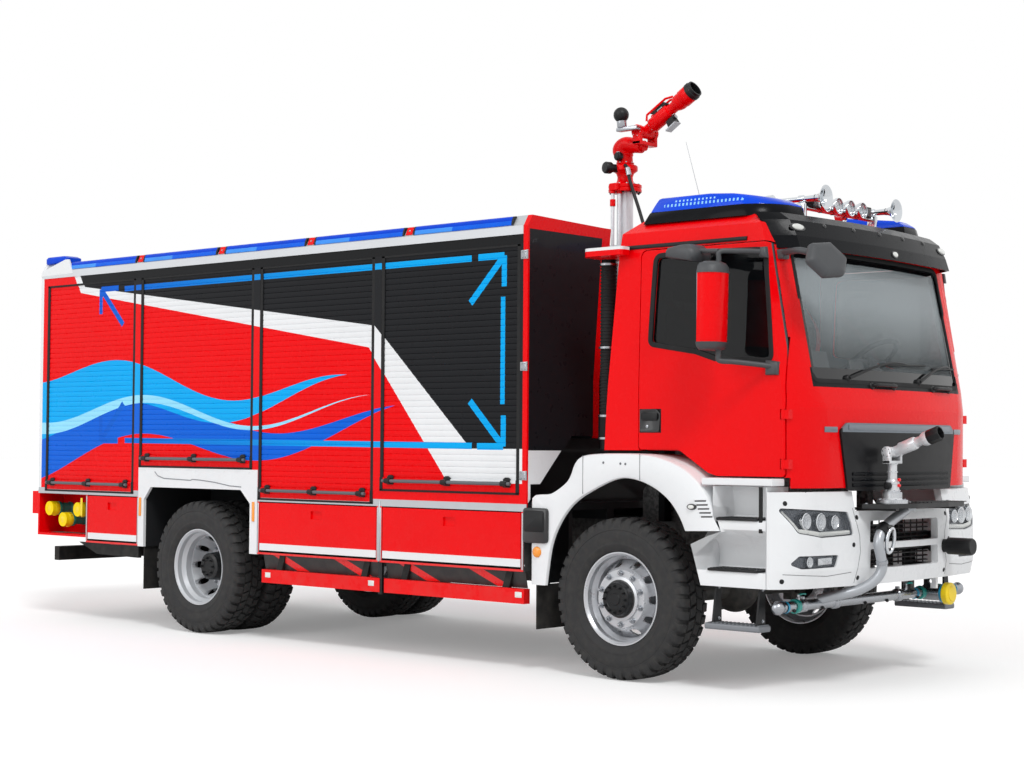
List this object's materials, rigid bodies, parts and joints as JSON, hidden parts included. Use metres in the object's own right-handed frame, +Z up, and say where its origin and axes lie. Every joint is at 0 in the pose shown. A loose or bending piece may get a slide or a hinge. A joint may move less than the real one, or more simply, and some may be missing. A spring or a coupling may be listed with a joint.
{
  "type": "water tanker fire truck",
  "caption": "Water tanker fire truck with a short cab, shuttered equipment body, lower lockers, a lifting roof monitor and a bumper monitor",
  "frame": {"origin": "on the ground, at the centre of the footprint of the bounding box", "axes": "+X forward, +Y to the left side of the truck, +Z up"},
  "size_m": [8.3139, 2.95, 4.0825],
  "materials": {
    "bare_aluminium": "satin",
    "black_plastic": "matte",
    "blue_lens": "gloss",
    "body_red": "gloss",
    "body_white": "gloss",
    "cast_iron_grey": "matte",
    "chassis_grey": "satin",
    "clear_glass": "gloss",
    "gloss_black": "gloss",
    "lamp_lens": "gloss",
    "monitor_metal": "satin",
    "rim_silver": "gloss",
    "rubber_black": "matte",
    "seat_fabric": "matte",
    "shutter_paint": "satin",
    "stainless": "satin",
    "tyre_black": "matte"
  },
  "bodies": {
    "truck": {"air_intake": "body_red", "body_end_walls": "body_red", "body_floor": "bare_aluminium", "body_roof": "body_white", "body_sides": "body_red", "cab_roof_signals": "blue_lens", "cab_seats": "seat_fabric", "cab_shell": "body_red", "chassis_frame": "chassis_grey", "dashboard": "black_plastic", "entrance_steps": "body_white", "front_axle": "chassis_grey", "front_bumper": "body_white", "front_fenders": "body_white", "front_mirror": "body_red", "front_pipework": "stainless", "grille_panel": "gloss_black", "hose_couplings": "bare_aluminium", "lower_lockers": "bare_aluminium", "mast_base": "bare_aluminium", "monitor_platform": "chassis_grey", "mudflaps": "rubber_black", "powertrain": "cast_iron_grey", "rear_arch_frames": "body_white", "rear_axle": "chassis_grey", "rear_step_and_rails": "bare_aluminium", "road_lamps": "lamp_lens", "roller_shutters": "shutter_paint", "roof_light_strips": "lamp_lens", "sun_visor": "gloss_black", "underrun_bars": "body_white", "windscreen": "clear_glass"},
    "door_right": {"door_right": "body_red", "door_glass_right": "clear_glass", "mirror_right": "body_red"},
    "door_left": {"door_left": "body_red", "door_glass_left": "clear_glass", "mirror_left": "body_red"},
    "knuckle_right": {"knuckle_right": "cast_iron_grey"},
    "knuckle_left": {"knuckle_left": "cast_iron_grey"},
    "wheel_front_right": {"front_tyre_right": "tyre_black", "front_rim_right": "rim_silver"},
    "wheel_front_left": {"front_tyre_left": "tyre_black", "front_rim_left": "rim_silver"},
    "wheel_rear_right": {"rear_tyres_right": "tyre_black", "rear_rims_right": "rim_silver"},
    "wheel_rear_left": {"rear_tyres_left": "tyre_black", "rear_rims_left": "rim_silver"},
    "mast": {"mast_tube": "bare_aluminium"},
    "roof_monitor_head": {"roof_monitor_head": "monitor_metal"},
    "roof_monitor_barrel": {"roof_monitor_barrel": "monitor_metal"},
    "front_monitor_head": {"front_monitor_head": "monitor_metal"},
    "front_monitor_barrel": {"front_monitor_barrel": "monitor_metal"},
    "locker_flap_front_left": {"locker_flap_front_left": "body_red"},
    "locker_flap_front_right": {"locker_flap_front_right": "body_red"},
    "locker_flap_mid_left": {"locker_flap_mid_left": "body_red"},
    "locker_flap_mid_right": {"locker_flap_mid_right": "body_red"},
    "locker_flap_rear_left": {"locker_flap_rear_left": "body_red"},
    "locker_flap_rear_right": {"locker_flap_rear_right": "body_red"}
  },
  "joints": [
    {"name": "door_right_hinge", "type": "hinge", "parent": "truck", "child": "door_right", "pos_m": [3.533, -1.114, 1.55], "axis": [0, 0, 1], "range_deg": [0, 70]},
    {"name": "door_left_hinge", "type": "hinge", "parent": "truck", "child": "door_left", "pos_m": [3.533, 1.114, 1.55], "axis": [0, 0, -1], "range_deg": [0, 70]},
    {"name": "locker_flap_rear_right_hinge", "type": "hinge", "parent": "truck", "child": "locker_flap_rear_right", "pos_m": [-2.967, -1.236, 0.702], "axis": [1, 0, 0], "range_deg": [0, 90]},
    {"name": "locker_flap_rear_left_hinge", "type": "hinge", "parent": "truck", "child": "locker_flap_rear_left", "pos_m": [-2.967, 1.236, 0.702], "axis": [-1, 0, 0], "range_deg": [0, 90]},
    {"name": "locker_flap_mid_right_hinge", "type": "hinge", "parent": "truck", "child": "locker_flap_mid_right", "pos_m": [-0.4605, -1.236, 0.702], "axis": [1, 0, 0], "range_deg": [0, 90]},
    {"name": "locker_flap_mid_left_hinge", "type": "hinge", "parent": "truck", "child": "locker_flap_mid_left", "pos_m": [-0.4605, 1.236, 0.702], "axis": [-1, 0, 0], "range_deg": [0, 90]},
    {"name": "locker_flap_front_right_hinge", "type": "hinge", "parent": "truck", "child": "locker_flap_front_right", "pos_m": [0.8975, -1.236, 0.702], "axis": [1, 0, 0], "range_deg": [0, 90]},
    {"name": "locker_flap_front_left_hinge", "type": "hinge", "parent": "truck", "child": "locker_flap_front_left", "pos_m": [0.8975, 1.236, 0.702], "axis": [-1, 0, 0], "range_deg": [0, 90]},
    {"name": "steering_right", "type": "hinge", "parent": "truck", "child": "knuckle_right", "pos_m": [2.33, -0.9, 0.522], "axis": [0, 0, 1], "range_deg": [-35, 35]},
    {"name": "wheel_front_right_axle", "type": "hinge", "parent": "knuckle_right", "child": "wheel_front_right", "pos_m": [2.33, -1.045, 0.522], "axis": [0, 1, 0], "continuous": true},
    {"name": "wheel_rear_right_axle", "type": "hinge", "parent": "truck", "child": "wheel_rear_right", "pos_m": [-1.87, -0.935, 0.522], "axis": [0, 1, 0], "continuous": true},
    {"name": "steering_left", "type": "hinge", "parent": "truck", "child": "knuckle_left", "pos_m": [2.33, 0.9, 0.522], "axis": [0, 0, 1], "range_deg": [-35, 35]},
    {"name": "wheel_front_left_axle", "type": "hinge", "parent": "knuckle_left", "child": "wheel_front_left", "pos_m": [2.33, 1.045, 0.522], "axis": [0, 1, 0], "continuous": true},
    {"name": "wheel_rear_left_axle", "type": "hinge", "parent": "truck", "child": "wheel_rear_left", "pos_m": [-1.87, 0.935, 0.522], "axis": [0, 1, 0], "continuous": true},
    {"name": "mast_lift", "type": "slide", "parent": "truck", "child": "mast", "axis": [0, 0, 1], "range_m": [-0.4, 0]},
    {"name": "roof_monitor_turn", "type": "hinge", "parent": "mast", "child": "roof_monitor_head", "pos_m": [1.445, 0, 3.6], "axis": [0, 0, 1], "range_deg": [-150, 150]},
    {"name": "roof_monitor_elevation", "type": "hinge", "parent": "roof_monitor_head", "child": "roof_monitor_barrel", "pos_m": [1.625, 0, 3.76], "axis": [0, -1, 0], "range_deg": [-45, 45]},
    {"name": "front_monitor_turn", "type": "hinge", "parent": "truck", "child": "front_monitor_head", "pos_m": [3.815, -0.31, 1.25], "axis": [0, 0, 1], "range_deg": [-90, 90]},
    {"name": "front_monitor_elevation", "type": "hinge", "parent": "front_monitor_head", "child": "front_monitor_barrel", "pos_m": [3.815, -0.31, 1.476], "axis": [0, -1, 0], "range_deg": [-30, 50]}
  ],
  "couplings": [
    {"joint": "steering_left", "follows": "steering_right", "ratio": 1}
  ]
}
